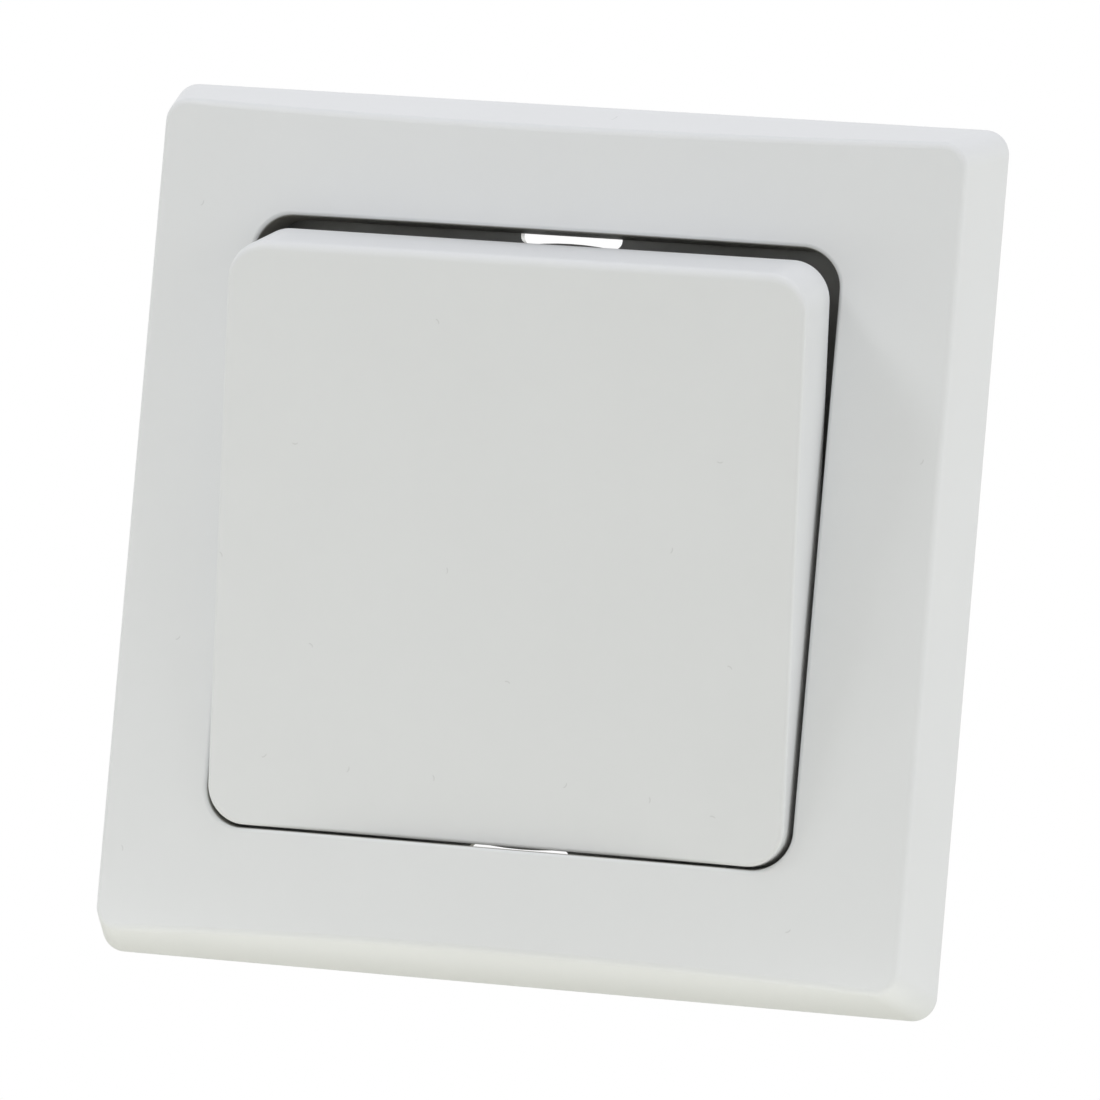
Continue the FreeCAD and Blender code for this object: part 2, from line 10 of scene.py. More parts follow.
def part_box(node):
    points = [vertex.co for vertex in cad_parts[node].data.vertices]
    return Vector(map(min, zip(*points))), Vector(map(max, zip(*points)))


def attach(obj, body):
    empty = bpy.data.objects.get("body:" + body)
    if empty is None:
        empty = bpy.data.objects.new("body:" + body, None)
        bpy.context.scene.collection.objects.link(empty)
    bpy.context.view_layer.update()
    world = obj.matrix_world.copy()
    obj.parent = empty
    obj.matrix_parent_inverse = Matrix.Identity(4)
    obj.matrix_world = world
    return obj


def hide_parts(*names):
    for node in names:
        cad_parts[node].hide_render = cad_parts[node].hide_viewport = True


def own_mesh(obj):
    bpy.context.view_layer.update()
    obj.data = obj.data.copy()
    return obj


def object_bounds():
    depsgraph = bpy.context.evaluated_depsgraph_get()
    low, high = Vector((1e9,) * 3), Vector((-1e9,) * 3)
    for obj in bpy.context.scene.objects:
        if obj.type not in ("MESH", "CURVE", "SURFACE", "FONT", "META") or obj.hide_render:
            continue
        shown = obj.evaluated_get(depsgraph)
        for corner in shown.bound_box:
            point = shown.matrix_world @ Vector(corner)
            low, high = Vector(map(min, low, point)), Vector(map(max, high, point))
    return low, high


bl_info = {
    "name": "Flush Wall Push Button",
    "version": (1, 0, 0),
    "blender": (4, 5, 0),
    "location": "3D View > Sidebar > Push Button",
    "description": "Dresses the push button's solids and sets up its studio",
    "category": "Object",
}

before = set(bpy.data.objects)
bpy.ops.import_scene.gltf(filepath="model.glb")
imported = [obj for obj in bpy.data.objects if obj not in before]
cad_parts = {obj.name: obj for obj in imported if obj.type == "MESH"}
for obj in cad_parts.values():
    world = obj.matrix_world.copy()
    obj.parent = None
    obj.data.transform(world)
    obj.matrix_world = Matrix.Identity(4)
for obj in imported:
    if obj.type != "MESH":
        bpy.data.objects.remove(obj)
CAD_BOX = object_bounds()
MM = 0.001


# Settings that a user would change


class PlasticSettings(PropertyGroup):
    """Moulded plastics of the frame, the rocker and the insert."""

    white: FloatVectorProperty(
        name="White", description="Colour of the frame and the rocker",
        subtype="COLOR", size=3, min=0, max=1, default=(0.757, 0.771, 0.795))
    gloss_roughness: FloatProperty(
        name="Gloss roughness", description="Roughness of the white plastic",
        default=0.33, min=0, max=1, subtype="FACTOR")
    gloss: FloatProperty(
        name="Gloss", description="Strength of the white plastic's mirror reflection",
        default=0.12, min=0, max=1, subtype="FACTOR")
    # The opening's inner walls are white plastic; the dark grey on them is painted shade.
    opening: FloatProperty(
        name="Opening",
        description="Side of the frame's opening, whose inner walls are dull and dark",
        default=55.6 * MM, min=10 * MM, max=80 * MM, unit="LENGTH", precision=4)
    opening_corner: FloatProperty(
        name="Opening corner", description="Radius of the opening's corners",
        default=3.6 * MM, min=0, max=10 * MM, unit="LENGTH", precision=4)
    # Colour of the painted shade laid over the opening's white inner walls, where they lie in shadow.
    painted_collar_shade: FloatVectorProperty(
        name="Collar", description="Colour of the inner walls of the opening",
        subtype="COLOR", size=3, min=0, max=1, default=(0.28, 0.275, 0.255))
    fibre_length: FloatProperty(
        name="Fibre length", description="Length of the stray dust fibres on the front",
        default=0.6 * MM, min=0, max=5 * MM, unit="LENGTH", precision=5)
    black: FloatVectorProperty(
        name="Black", description="Colour of the insulating base",
        subtype="COLOR", size=3, min=0, max=1, default=(0.018, 0.018, 0.019))
    carrier: FloatVectorProperty(
        name="Carrier", description="Colour of the carrier behind the rocker",
        subtype="COLOR", size=3, min=0, max=1, default=(0.03, 0.03, 0.032))


class MetalSettings(PropertyGroup):
    """Metals of the ring, the claws and the contacts."""

    zinc: FloatVectorProperty(
        name="Zinc", description="Colour of plated sheet steel",
        subtype="COLOR", size=3, min=0, max=1, default=(0.50, 0.51, 0.53))
    # The ring's dark grey is partly the steel's own colour and partly painted shade for the deep gap
    # behind the opening.
    ring: FloatVectorProperty(
        name="Ring", description="Colour of the support ring's dark passivated steel",
        subtype="COLOR", size=3, min=0, max=1, default=(0.29, 0.29, 0.28))
    brass: FloatVectorProperty(
        name="Brass", description="Colour of the terminals",
        subtype="COLOR", size=3, min=0, max=1, default=(0.72, 0.53, 0.25))
    silver: FloatVectorProperty(
        name="Silver", description="Colour of the contact buttons",
        subtype="COLOR", size=3, min=0, max=1, default=(0.80, 0.79, 0.76))
    thread_pitch: FloatProperty(
        name="Thread pitch", description="Pitch of the screws' threads",
        default=0.5 * MM, min=0.2 * MM, max=2 * MM, unit="LENGTH", precision=5)
    spring_wire: FloatProperty(
        name="Spring wire", description="Diameter of the return spring's wire",
        default=0.5 * MM, min=0.1 * MM, max=1 * MM, unit="LENGTH", precision=5)
    spring_turns: FloatProperty(
        name="Spring turns", description="Open turns of the return spring between its closed ends",
        default=4, min=1, max=12)
    spring_pressed: FloatProperty(
        name="Spring pressed",
        description="Share of its length that the return spring keeps when pressed",
        default=0.77, min=0.3, max=1, subtype="FACTOR")


class StageSettings(PropertyGroup):
    """Floor, light and camera."""

    floor_drop: FloatProperty(
        name="Floor drop", description="Height of the object over the floor",
        default=0.035, min=0, unit="LENGTH")
    floor_colour: FloatVectorProperty(
        name="Floor", description="Colour of the floor",
        subtype="COLOR", size=3, min=0, max=1, default=(0.85, 0.845, 0.75))
    surround: FloatProperty(
        name="Surround", description="Strength of the even light from all round",
        default=0.461, min=0)
    key_power: FloatProperty(
        name="Key power", description="Power of the soft light at the upper left",
        default=2.65, min=0, unit="POWER")
    top_power: FloatProperty(
        name="Top power", description="Power of the soft light overhead",
        default=2.0, min=0, unit="POWER")
    side_power: FloatProperty(
        name="Side power", description="Power of the soft light at the right",
        default=2.6, min=0, unit="POWER")
    card_power: FloatProperty(
        name="Card power", description="Power of the low card in front",
        default=0.036, min=0, unit="POWER")
    strip_power: FloatProperty(
        name="Strip power",
        description="Power of the narrow strip close under the frame's front edge",
        default=0.00095, min=0, unit="POWER", precision=5)
    rear_power: FloatProperty(
        name="Rear power", description="Power of the soft light behind",
        default=2.5, min=0, unit="POWER")
    lens: FloatProperty(
        name="Lens", description="Focal length of the camera, in millimetres",
        default=327.27, min=10, unit="CAMERA")


SETTINGS = {
    "push_button_plastic": PlasticSettings,
    "push_button_metal": MetalSettings,
    "push_button_stage": StageSettings,
}


# Materials


class Shader:
    """A material under construction: named nodes and short links."""

    def __init__(self, name):
        self.material = bpy.data.materials.new(name)
        self.material.use_nodes = True
        self.tree = self.material.node_tree
        self.principled = self.tree.nodes["Principled BSDF"]

    def node(self, kind, **values):
        made = self.tree.nodes.new(kind)
        for key, value in values.items():
            if hasattr(made, key):
                setattr(made, key, value)
            else:
                made.inputs[key.replace("_", " ")].default_value = value
        return made

    def link(self, source, target):
        self.tree.links.new(source, target)

    def drive(self, value, socket):
        """Links a value to one of the surface's own sockets."""
        self.link(value, self.principled.inputs[socket])

    def set(self, **values):
        """Sets values on the surface's own sockets."""
        for key, value in values.items():
            self.principled.inputs[key.replace("_", " ")].default_value = value

    def place(self):
        """Object coordinates in millimetres."""
        coordinates = self.node("ShaderNodeTexCoord")
        scaled = self.node("ShaderNodeVectorMath", operation="SCALE")
        scaled.inputs["Scale"].default_value = 1 / MM
        self.link(coordinates.outputs["Object"], scaled.inputs[0])
        return scaled.outputs[0]

    def noise(self, place, scale, detail=2.0):
        made = self.node("ShaderNodeTexNoise", Scale=scale, Detail=detail)
        self.link(place, made.inputs["Vector"])
        return made.outputs["Fac"]

    def span(self, value, low, high, start=0.0, end=1.0):
        made = self.node("ShaderNodeMapRange")
        made.inputs["From Min"].default_value = start
        made.inputs["From Max"].default_value = end
        made.inputs["To Min"].default_value = low
        made.inputs["To Max"].default_value = high
        self.link(value, made.inputs["Value"])
        return made.outputs["Result"]

    def tint(self, value, first, second):
        """Colour between two, by a value from 0 to 1."""
        made = self.node("ShaderNodeMix", data_type="RGBA")
        self.link(value, made.inputs["Factor"])
        made.inputs["A"].default_value = (*first, 1)
        made.inputs["B"].default_value = (*second, 1)
        return made.outputs["Result"]

    def cover(self, value, under, second):
        """A colour laid over another socket's, by a value from 0 to 1."""
        made = self.node("ShaderNodeMix", data_type="RGBA")
        self.link(value, made.inputs["Factor"])
        self.link(under, made.inputs["A"])
        made.inputs["B"].default_value = (*second, 1)
        return made.outputs["Result"]

    def maths(self, operation, first, second=None):
        made = self.node("ShaderNodeMath", operation=operation)
        self.link(first, made.inputs[0])
        if isinstance(second, (int, float)):
            made.inputs[1].default_value = second
        elif second is not None:
            self.link(second, made.inputs[1])
        return made.outputs[0]

    def vector(self, operation, first, second):
        made = self.node("ShaderNodeVectorMath", operation=operation)
        self.link(first, made.inputs[0])
        self.link(second, made.inputs[1])
        return made.outputs[0]

    def turned(self, place):
        """Front view of a place: X stays, Z becomes the second coordinate and depth is dropped."""
        parts = self.node("ShaderNodeSeparateXYZ")
        self.link(place, parts.inputs["Vector"])
        made = self.node("ShaderNodeCombineXYZ")
        self.link(parts.outputs["X"], made.inputs["X"])
        self.link(parts.outputs["Z"], made.inputs["Y"])
        return made.outputs["Vector"]

    def bump(self, height, strength, distance):
        made = self.node("ShaderNodeBump", Strength=strength, Distance=distance)
        self.link(height, made.inputs["Height"])
        self.drive(made.outputs["Normal"], "Normal")


def shade(colour, factor):
    """A colour made lighter or darker."""
    return tuple(min(1.0, channel * factor) for channel in colour)


def dust_fibres(shader, place, length):
    """Mask of short stray fibres on the front, at most one in each cell of a loose pattern.

    A place is in millimetres, and so are the fibre's half widths, where it is full and where it ends.
    """
    cells_per_mm = 0.1
    half_length = length / MM / 2
    taper_start = 0.7 * half_length
    full_width, edge_width = 0.03, 0.08
    curve = 1.2
    bare_draw, fibre_draw = 0.62, 0.66
    flat = shader.turned(place)
    cells = shader.node("ShaderNodeTexVoronoi", voronoi_dimensions="2D", Scale=cells_per_mm)
    shader.link(flat, cells.inputs["Vector"])
    from_middle = shader.vector("SUBTRACT", flat, cells.outputs["Position"])
    lot = shader.node("ShaderNodeSeparateColor")
    shader.link(cells.outputs["Color"], lot.inputs["Color"])
    turn = shader.node("ShaderNodeVectorRotate", rotation_type="Z_AXIS")
    shader.link(from_middle, turn.inputs["Vector"])
    shader.link(shader.span(lot.outputs["Red"], 0.0, math.pi), turn.inputs["Angle"])
    local = shader.node("ShaderNodeSeparateXYZ")
    shader.link(turn.outputs["Vector"], local.inputs["Vector"])
    along = shader.maths("ABSOLUTE", local.outputs["X"])
    bow = shader.maths("MULTIPLY", shader.maths("MULTIPLY", along, along), curve)
    across = shader.maths("ABSOLUTE", shader.maths("ADD", local.outputs["Y"], bow))
    ends = shader.span(along, 1.0, 0.0, taper_start, half_length)
    sides = shader.span(across, 1.0, 0.0, full_width, edge_width)
    chosen = shader.span(lot.outputs["Green"], 0.0, 1.0, bare_draw, fibre_draw)
    return shader.maths("MULTIPLY", shader.maths("MULTIPLY", ends, sides), chosen)


def collar_shade_mask(shader, place, opening, corner):
    """Mask of the painted shade on the opening's inner walls, which fades out in millimetres past its
    rounded outline.
    """
    wall_end, front_start = 0.03, 0.12
    edge = corner / MM
    straight = opening / MM / 2 - edge
    flat = shader.node("ShaderNodeSeparateXYZ")
    shader.link(shader.turned(place), flat.inputs["Vector"])
    past = shader.node("ShaderNodeCombineXYZ")
    for axis in ("X", "Y"):
        beyond = shader.maths("SUBTRACT", shader.maths("ABSOLUTE", flat.outputs[axis]), straight)
        shader.link(shader.maths("MAXIMUM", beyond, 0.0), past.inputs[axis])
    reach = shader.node("ShaderNodeVectorMath", operation="LENGTH")
    shader.link(past.outputs["Vector"], reach.inputs[0])
    return shader.span(reach.outputs["Value"], 1.0, 0.0, edge + wall_end, edge + front_start)


def white_plastic(name, settings, painted_collar_shade=False):
    """Moulded white with a soft gloss, a faint orange peel, a cloudy tone and stray dust fibres, and
    on the frame painted shade on the opening's inner walls.
    """
    cloud_scale, gloss_scale, peel_scale = 0.08, 0.9, 1.6
    cloud_tone = 0.015
    fibre_tone = 0.87
    gloss_spread = 0.06
    peel_strength, peel_depth = 0.05, 0.02 * MM
    shader = Shader(name)
    white = tuple(settings.white)
    place = shader.place()
    clouds = shader.noise(place, cloud_scale, detail=3.0)
    colour = shader.tint(clouds, shade(white, 1 - cloud_tone), shade(white, 1 + cloud_tone))
    fibres = dust_fibres(shader, place, settings.fibre_length)
    colour = shader.cover(fibres, colour, shade(white, fibre_tone))
    # Painted shade: dark grey laid over the opening's white inner walls, where they would lie in
    # shadow.
    if painted_collar_shade:
        walls = collar_shade_mask(shader, place, settings.opening, settings.opening_corner)
        colour = shader.cover(walls, colour, tuple(settings.painted_collar_shade))
    shader.drive(colour, "Base Color")
    rough = shader.noise(place, gloss_scale, detail=4.0)
    low = settings.gloss_roughness
    shader.drive(shader.span(rough, low, low + gloss_spread), "Roughness")
    shader.set(IOR=1.48, Specular_IOR_Level=settings.gloss)
    shader.bump(shader.noise(place, peel_scale), peel_strength, peel_depth)
    return shader.material


def moulded_plastic(name, colour, roughness, grain):
    """Matt spark-eroded plastic for the pieces of the insert."""
    dark, light = 0.8, 1.25
    spread = 0.08
    grain_strength, grain_depth = 0.25, 0.05 * MM
    shader = Shader(name)
    place = shader.place()
    fine = shader.noise(place, grain, detail=4.0)
    shader.drive(shader.tint(fine, shade(colour, dark), shade(colour, light)), "Base Color")
    shader.drive(shader.span(fine, roughness - spread, roughness + spread), "Roughness")
    shader.bump(fine, grain_strength, grain_depth)
    return shader.material


def sheet_metal(name, colour, roughness, stretch):
    """Rolled or drawn metal with fine streaks along one direction and a cloudy plating."""
    streak_scale, cloud_scale = 6.0, 0.5
    dark, light = 0.86, 1.1
    smoother, rougher = 0.07, 0.09
    streak_strength, streak_depth = 0.08, 0.02 * MM
    shader = Shader(name)
    place = shader.place()
    mapped = shader.node("ShaderNodeMapping")
    mapped.inputs["Scale"].default_value = stretch
    shader.link(place, mapped.inputs["Vector"])
    streaks = shader.noise(mapped.outputs["Vector"], streak_scale, detail=3.0)
    clouds = shader.noise(place, cloud_scale, detail=3.0)
    shader.drive(shader.tint(clouds, shade(colour, dark), shade(colour, light)), "Base Color")
    shader.drive(shader.span(streaks, roughness - smoother, roughness + rougher), "Roughness")
    shader.set(Metallic=1.0)
    shader.bump(streaks, streak_strength, streak_depth)
    return shader.material


def dress(material, *nodes):
    """Puts one material on whole CAD nodes or pieces."""
    for node in nodes:
        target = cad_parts[node] if isinstance(node, str) else node
        target.data.materials.clear()
        target.data.materials.append(material)


def shared_metal(name, colour, roughness, stretch):
    """A metal finish that several operators share, made once."""
    made = bpy.data.materials.get(name)
    return made or sheet_metal(name, tuple(colour), roughness, stretch)


def zinc(context):
    """Bright plated steel of the claws, the screws, the rivets, the pin and the spring."""
    colour = context.scene.push_button_metal.zinc
    return shared_metal("zinc_sheet", colour, roughness=0.36, stretch=(1.0, 1.0, 12.0))


def brass(context):
    """Brass strip of the lever and the terminals."""
    colour = context.scene.push_button_metal.brass
    return shared_metal("brass_strip", colour, roughness=0.3, stretch=(1.0, 10.0, 1.0))


def silver(context):
    """Silver of the two contact buttons."""
    colour = context.scene.push_button_metal.silver
    return shared_metal("silver_face", colour, roughness=0.24, stretch=(3.0, 3.0, 1.0))


# Meshes made here


def object_from(mesh, name):
    """Object from a finished mesh, in the scene."""
    data = bpy.data.meshes.new(name)
    mesh.to_mesh(data)
    mesh.free()
    piece = bpy.data.objects.new(name, data)
    bpy.context.collection.objects.link(piece)
    return piece


def skin(mesh, rings):
    """Faces from ring to ring, with both ends closed."""
    for lower, upper in zip(rings, rings[1:]):
        for i in range(len(lower)):
            j = (i + 1) % len(lower)
            mesh.faces.new((lower[i], lower[j], upper[j], upper[i]))
    mesh.faces.new(list(reversed(rings[0])))
    mesh.faces.new(rings[-1])


def smooth_by_angle(piece, degrees):
    """Smooth shading with sharp edges where faces turn by more than an angle."""
    mesh = bmesh.new()
    mesh.from_mesh(piece.data)
    limit = math.radians(degrees)
    for face in mesh.faces:
        face.smooth = True
    for edge in mesh.edges:
        edge.smooth = len(edge.link_faces) == 2 and edge.calc_face_angle() < limit
    mesh.to_mesh(piece.data)
    mesh.free()


def node_middle(node):
    """Middle of a CAD node's box."""
    low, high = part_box(node)
    return (Vector(low) + Vector(high)) / 2


# Turned screws, with their slots as shares of the head's radius and height

SLOT_WIDTH = 0.3
SLOT_DEPTH = 0.45


def screw_mesh(name, shank_radius, shank_length, head_radius, head_height, pitch):
    """Slotted pan head screw along Z: head above 0, threaded shank below."""
    segments = 48
    rows_per_turn = 8
    edge_steps = 4
    thread_depth = 0.3 * pitch
    edge = 0.25 * head_height
    angles = [2 * math.pi * i / segments for i in range(segments)]
    mesh = bmesh.new()

    def ring(height, radius_at):
        made = []
        for angle in angles:
            radius = radius_at(angle)
            place = (radius * math.cos(angle), radius * math.sin(angle), height)
            made.append(mesh.verts.new(place))
        return made

    def thread_ring(height):
        def radius_at(angle):
            phase = (height / pitch + angle / (2 * math.pi)) % 1.0
            return shank_radius - thread_depth * abs(2 * phase - 1)

        return ring(height, radius_at)

    rows = max(2, int(shank_length / pitch * rows_per_turn))
    rings = [thread_ring(-shank_length + shank_length * row / rows) for row in range(rows + 1)]
    profile = [(head_radius, 0.0), (head_radius, head_height - edge)]
    for step in range(1, edge_steps + 1):
        angle = step / edge_steps * math.pi / 2
        inwards = edge * (1 - math.cos(angle))
        upwards = edge * math.sin(angle)
        profile.append((head_radius - inwards, head_height - edge + upwards))
    rings += [ring(height, lambda angle, radius=radius: radius) for radius, height in profile]
    skin(mesh, rings)
    piece = object_from(mesh, name)
    cut_slot(piece, head_radius, head_height)
    return piece


def cut_slot(piece, head_radius, head_height):
    """Cuts a screwdriver slot along X with a bar that is longer than the head and half above it."""
    bar = (3 * head_radius, SLOT_WIDTH * head_radius, 2 * SLOT_DEPTH * head_height)
    mesh = bmesh.new()
    bmesh.ops.create_cube(mesh, size=1.0)
    bmesh.ops.scale(mesh, verts=mesh.verts, vec=bar)
    bmesh.ops.translate(mesh, verts=mesh.verts, vec=(0, 0, head_height))
    cutter = object_from(mesh, "slot_cutter")
    modifier = piece.modifiers.new("slot", "BOOLEAN")
    modifier.object = cutter
    modifier.solver = "EXACT"
    bpy.context.view_layer.update()
    evaluated = piece.evaluated_get(bpy.context.evaluated_depsgraph_get())
    cut = bpy.data.meshes.new_from_object(evaluated)
    piece.modifiers.clear()
    piece.data = cut
    cut.name = piece.name
    bpy.data.objects.remove(cutter)


# Coil spring, whose ends are wound nearly closed, with their pitch in wire thicknesses

CLOSED_TURNS = 0.75
CLOSED_PITCH = 1.3


def coil_height(turn, turns, length, wire_radius):
    """Height of the wire's middle at one turn of the coil."""
    pitch = CLOSED_PITCH * 2 * wire_radius
    from_end = turns - turn
    if turn < CLOSED_TURNS:
        return wire_radius + pitch * turn
    if from_end < CLOSED_TURNS:
        return length - wire_radius - pitch * from_end
    start = wire_radius + pitch * CLOSED_TURNS
    share = (turn - CLOSED_TURNS) / (turns - 2 * CLOSED_TURNS)
    return start + share * (length - 2 * start)


def coil_mesh(name, radius, wire_radius, length, open_turns):
    """Round wire coil along Z, from 0 to its length."""
    steps_per_turn = 28
    sides = 12
    turns = open_turns + 2 * CLOSED_TURNS
    steps = round(steps_per_turn * turns)
    mesh = bmesh.new()
    rings = []
    for step in range(steps + 1):
        turn = turns * step / steps
        height = coil_height(turn, turns, length, wire_radius)
        around = 2 * math.pi * turn
        ring = []
        for side in range(sides):
            angle = 2 * math.pi * side / sides
            out = radius + wire_radius * math.cos(angle)
            up = height + wire_radius * math.sin(angle)
            ring.append(mesh.verts.new((out * math.cos(around), out * math.sin(around), up)))
        rings.append(ring)
    skin(mesh, rings)
    bmesh.ops.recalc_face_normals(mesh, faces=mesh.faces)
    return object_from(mesh, name)


# Operators, one for each piece or group of like pieces

# Angle in degrees past which an edge stays sharp
SHARP_ANGLE = 40

# Turn of the terminal screws' slots, in radians
SLOT_TURN = 0.5

# Shank radius and head height of the screws, as shares of the head's radius
TERMINAL_SHANK = 0.56
CLAW_SHANK = 0.75
CLAW_HEAD = 0.8


class PUSH_BUTTON_OT_cover_frame(Operator):
    """Gives the cover frame its white plastic, with painted shade on the opening's inner walls"""

    bl_idname = "push_button.cover_frame"
    bl_label = "Cover frame"

    def execute(self, context):
        plastic = context.scene.push_button_plastic
        dress(white_plastic("frame_white", plastic, painted_collar_shade=True), "cover_frame")
        return {"FINISHED"}


class PUSH_BUTTON_OT_rocker(Operator):
    """Gives the rocker's cap and carrier their plastics"""

    bl_idname = "push_button.rocker"
    bl_label = "Rocker"

    def execute(self, context):
        plastic = context.scene.push_button_plastic
        dress(white_plastic("rocker_white", plastic), "rocker_cap")
        dark = tuple(plastic.carrier)
        dress(moulded_plastic("carrier_plastic", dark, roughness=0.6, grain=3.0), "rocker_carrier")
        return {"FINISHED"}


class PUSH_BUTTON_OT_support_ring(Operator):
    """Gives the support ring a dark grey steel, partly painted shade for the gap behind the opening,
    and its rivets bright zinc
    """

    bl_idname = "push_button.support_ring"
    bl_label = "Support ring"

    def execute(self, context):
        metal = context.scene.push_button_metal
        # Painted shade: the ring's steel is made darker to stand in for the shade in the gap behind
        # the opening.
        dark = tuple(metal.ring)
        steel = sheet_metal("ring_steel", dark, roughness=0.5, stretch=(1.0, 1.0, 12.0))
        dress(steel, "support_ring")
        dress(zinc(context), "ring_rivets")
        return {"FINISHED"}


class PUSH_BUTTON_OT_base(Operator):
    """Gives the insulating base and the cover plate of its contacts their plastics"""

    bl_idname = "push_button.base"
    bl_label = "Insulating base"

    def execute(self, context):
        plastic = context.scene.push_button_plastic
        black = tuple(plastic.black)
        dress(moulded_plastic("base_plastic", black, roughness=0.55, grain=2.2), "base")
        dark = tuple(plastic.carrier)
        dress(moulded_plastic("cover_plastic", dark, roughness=0.45, grain=4.0), "contact_cover")
        return {"FINISHED"}


class PUSH_BUTTON_OT_contacts(Operator):
    """Gives the contact lever and the terminals their metals"""

    bl_idname = "push_button.contacts"
    bl_label = "Contacts"

    def execute(self, context):
        dress(brass(context), "contact_lever", "line_terminal", "load_terminal")
        dress(silver(context), "moving_contact", "fixed_contact")
        dress(zinc(context), "contact_pin")
        return {"FINISHED"}


class PUSH_BUTTON_OT_return_spring(Operator):
    """Makes the coil spring under the contact lever"""

    bl_idname = "push_button.return_spring"
    bl_label = "Return spring"

    def execute(self, context):
        metal = context.scene.push_button_metal
        low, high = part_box("return_spring")
        middle = node_middle("return_spring")
        wire_radius = metal.spring_wire / 2
        radius = (high[0] - low[0]) / 2 - wire_radius
        length = high[2] - low[2]
        piece = coil_mesh("coil_spring", radius, wire_radius, length, metal.spring_turns)
        foot = Vector((middle.x, middle.y, low[2]))
        piece.data.transform(Matrix.Translation(foot))
        smooth_by_angle(piece, SHARP_ANGLE)
        dress(zinc(context), piece)
        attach(piece, "insert")
        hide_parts("return_spring")
        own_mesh(piece)
        return {"FINISHED"}


class PUSH_BUTTON_OT_terminal_screws(Operator):
    """Makes the slotted clamp screws of the two terminals"""

    bl_idname = "push_button.terminal_screws"
    bl_label = "Terminal screws"

    def execute(self, context):
        low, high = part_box("terminal_screws")
        middle = node_middle("terminal_screws")
        _, block_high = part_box("line_terminal")
        head_radius = (high[0] - low[0]) / 2
        head_height = high[2] - block_high[2]
        shank_radius = TERMINAL_SHANK * head_radius
        pitch = context.scene.push_button_metal.thread_pitch
        for name, sign in (("terminal_screw_upper", 1), ("terminal_screw_lower", -1)):
            piece = screw_mesh(name, shank_radius, head_height, head_radius, head_height, pitch)
            seat = Vector((middle.x, middle.y, sign * block_high[2]))
            flip = Matrix.Rotation(0 if sign > 0 else math.pi, 4, "X")
            turn = Matrix.Rotation(SLOT_TURN, 4, "Z")
            piece.data.transform(Matrix.Translation(seat) @ flip @ turn)
            smooth_by_angle(piece, SHARP_ANGLE)
            dress(zinc(context), piece)
            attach(piece, "insert")
            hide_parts("terminal_screws")
        return {"FINISHED"}


class PUSH_BUTTON_OT_claws(Operator):
    """Dresses the fixing claws and makes their slotted screws"""

    bl_idname = "push_button.claws"
    bl_label = "Fixing claws"

    def execute(self, context):
        dress(zinc(context), "claw_right", "claw_left", "claw_nuts")
        pitch = context.scene.push_button_metal.thread_pitch
        for side in ("right", "left"):
            node = "claw_screw_" + side
            low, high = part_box(node)
            middle = node_middle(node)
            head_radius = (high[0] - low[0]) / 2
            head_height = CLAW_HEAD * head_radius
            shank_radius = CLAW_SHANK * head_radius
            length = high[1] - low[1] - head_height
            name = "slotted_" + node
            piece = screw_mesh(name, shank_radius, length, head_radius, head_height, pitch)
            seat = Vector((middle.x, low[1] + head_height, middle.z))
            piece.data.transform(Matrix.Translation(seat) @ Matrix.Rotation(math.pi / 2, 4, "X"))
            smooth_by_angle(piece, SHARP_ANGLE)
            dress(zinc(context), piece)
            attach(piece, node)
            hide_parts(node)
        return {"FINISHED"}


# Stage

# Camera as solved from the frame's edges in the photograph, whose side and axis are in its pixels
CAMERA_PLACE = Vector((0.290512, -0.857301, -0.035267))
CAMERA_RIGHT = Vector((0.94451, 0.31689, 0.08652))
CAMERA_FORWARD = Vector((-0.32087, 0.94642, 0.03643))
PHOTO_SIDE = 1100.0
PHOTO_AXIS = (546.41, 570.45)
SENSOR = 36.0

# The floor ends before its far edge would come into the picture
FLOOR_RADIUS = 0.9

# Light panels: place, width and height in metres, and the setting that holds the power
LIGHTS = {
    "key_light": ((-0.64, -0.5, 0.71), 0.3, 0.3, "key_power"),
    "top_light": ((0.06, -0.18, 0.88), 0.5, 0.5, "top_power"),
    "side_light": ((0.9, -0.1, 0.1), 1.0, 0.36, "side_power"),
    "front_card": ((-0.06, -0.16, -0.062), 0.22, 0.05, "card_power"),
    "edge_strip": ((0.0, -0.0105, -0.0445), 0.1, 0.004, "strip_power"),
    "rear_light": ((0.3, 0.9, 0.3), 0.5, 0.5, "rear_power"),
}


def add_camera(settings):
    """Camera at the photograph's place, with its picture axis a little off the middle."""
    data = bpy.data.cameras.new("camera")
    data.sensor_width = SENSOR
    data.lens = settings.lens
    data.clip_start = 0.01
    data.shift_x = (PHOTO_SIDE / 2 - PHOTO_AXIS[0]) / PHOTO_SIDE
    data.shift_y = (PHOTO_AXIS[1] - PHOTO_SIDE / 2) / PHOTO_SIDE
    camera = bpy.data.objects.new("camera", data)
    bpy.context.collection.objects.link(camera)
    back = -CAMERA_FORWARD.normalized()
    up = back.cross(CAMERA_RIGHT).normalized()
    right = up.cross(back)
    turn = Matrix((right, up, back)).transposed().to_4x4()
    camera.matrix_world = Matrix.Translation(CAMERA_PLACE) @ turn
    bpy.context.scene.camera = camera


def add_area(name, place, width, height, power):
    """Soft light panel that faces the object's middle and stays out of the picture."""
    data = bpy.data.lights.new(name, "AREA")
    data.shape = "RECTANGLE"
    data.size = width
    data.size_y = height
    data.energy = power
    light = bpy.data.objects.new(name, data)
    light.location = place
    light.rotation_euler = (-Vector(place)).to_track_quat("-Z", "Y").to_euler()
    light.visible_camera = False
    bpy.context.collection.objects.link(light)


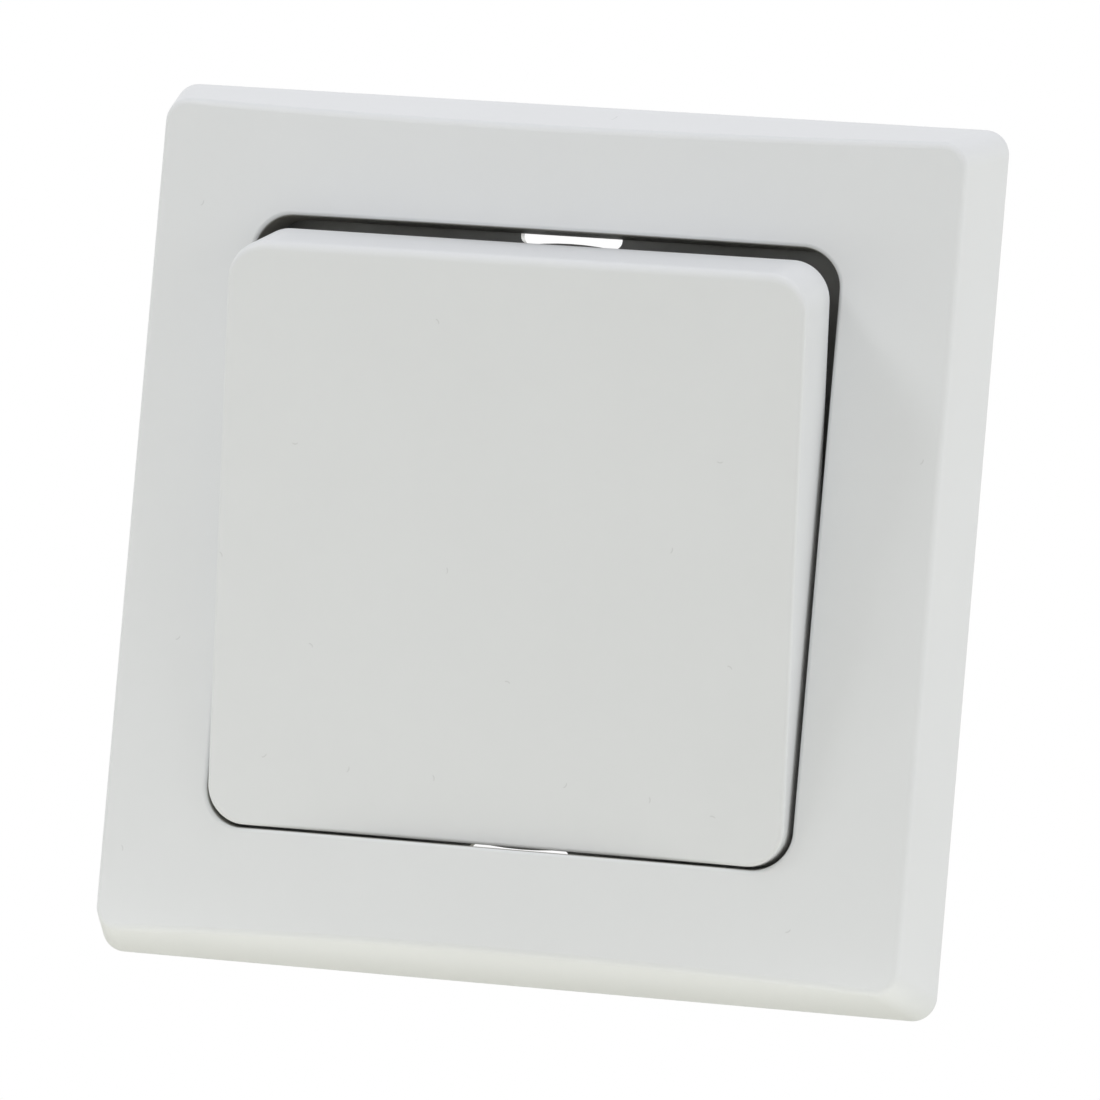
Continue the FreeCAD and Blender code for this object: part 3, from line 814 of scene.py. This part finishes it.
def set_surround(settings):
    """Even light from all round; white where the camera or a mirror looks at it."""
    world = bpy.data.worlds.new("surround")
    bpy.context.scene.world = world
    world.use_nodes = True
    nodes = world.node_tree.nodes
    links = world.node_tree.links
    background = nodes["Background"]
    background.inputs["Color"].default_value = (1, 1, 1, 1)
    path = nodes.new("ShaderNodeLightPath")
    seen = path.outputs["Is Camera Ray"]
    for kind in ("Is Glossy Ray", "Is Transmission Ray"):
        either = nodes.new("ShaderNodeMath")
        either.operation = "MAXIMUM"
        links.new(seen, either.inputs[0])
        links.new(path.outputs[kind], either.inputs[1])
        seen = either.outputs[0]
    strength = nodes.new("ShaderNodeMapRange")
    strength.inputs["To Min"].default_value = settings.surround
    strength.inputs["To Max"].default_value = 1.0
    links.new(seen, strength.inputs["Value"])
    links.new(strength.outputs["Result"], background.inputs["Strength"])


def add_floor(settings):
    """Pale round floor below the object."""
    level = CAD_BOX[0][2] - settings.floor_drop
    grain_scale = 0.05
    grain_tone = 0.01
    mesh = bmesh.new()
    bmesh.ops.create_circle(mesh, cap_ends=True, radius=FLOOR_RADIUS, segments=64)
    bmesh.ops.translate(mesh, verts=mesh.verts, vec=(0, 0, level))
    floor = object_from(mesh, "floor")
    shader = Shader("floor_paper")
    grain = shader.noise(shader.place(), grain_scale, detail=3.0)
    colour = tuple(settings.floor_colour)
    tones = (shade(colour, 1 - grain_tone), shade(colour, 1 + grain_tone))
    shader.drive(shader.tint(grain, *tones), "Base Color")
    shader.set(Roughness=0.9, Specular_IOR_Level=0.1)
    dress(shader.material, floor)


class PUSH_BUTTON_OT_stage(Operator):
    """Sets up the floor, the soft light and the camera"""

    bl_idname = "push_button.stage"
    bl_label = "Stage"

    def execute(self, context):
        settings = context.scene.push_button_stage
        context.scene.view_settings.view_transform = "Standard"
        add_camera(settings)
        set_surround(settings)
        add_floor(settings)
        for name, (place, width, height, power) in LIGHTS.items():
            add_area(name, place, width, height, getattr(settings, power))
        return {"FINISHED"}


OPERATORS = (
    PUSH_BUTTON_OT_cover_frame,
    PUSH_BUTTON_OT_rocker,
    PUSH_BUTTON_OT_support_ring,
    PUSH_BUTTON_OT_base,
    PUSH_BUTTON_OT_contacts,
    PUSH_BUTTON_OT_return_spring,
    PUSH_BUTTON_OT_terminal_screws,
    PUSH_BUTTON_OT_claws,
    PUSH_BUTTON_OT_stage,
)


class PUSH_BUTTON_PT_pieces(Panel):
    """Lists the push button's pieces"""

    bl_idname = "PUSH_BUTTON_PT_pieces"
    bl_label = "Push Button"
    bl_space_type = "VIEW_3D"
    bl_region_type = "UI"
    bl_category = "Push Button"

    def draw(self, context):
        for operator in OPERATORS:
            self.layout.operator(operator.bl_idname)
        for name in SETTINGS:
            settings = getattr(context.scene, name)
            box = self.layout.box()
            for key in settings.__annotations__:
                box.prop(settings, key)


CLASSES = (*SETTINGS.values(), *OPERATORS, PUSH_BUTTON_PT_pieces)


def register():
    for cls in CLASSES:
        bpy.utils.register_class(cls)
    for name, group in SETTINGS.items():
        setattr(bpy.types.Scene, name, PointerProperty(type=group))


def unregister():
    for name in SETTINGS:
        delattr(bpy.types.Scene, name)
    for cls in reversed(CLASSES):
        bpy.utils.unregister_class(cls)


def main():
    register()
    for operator in OPERATORS:
        group, name = operator.bl_idname.split(".")
        getattr(getattr(bpy.ops, group), name)()


if __name__ == "__main__":
    main()
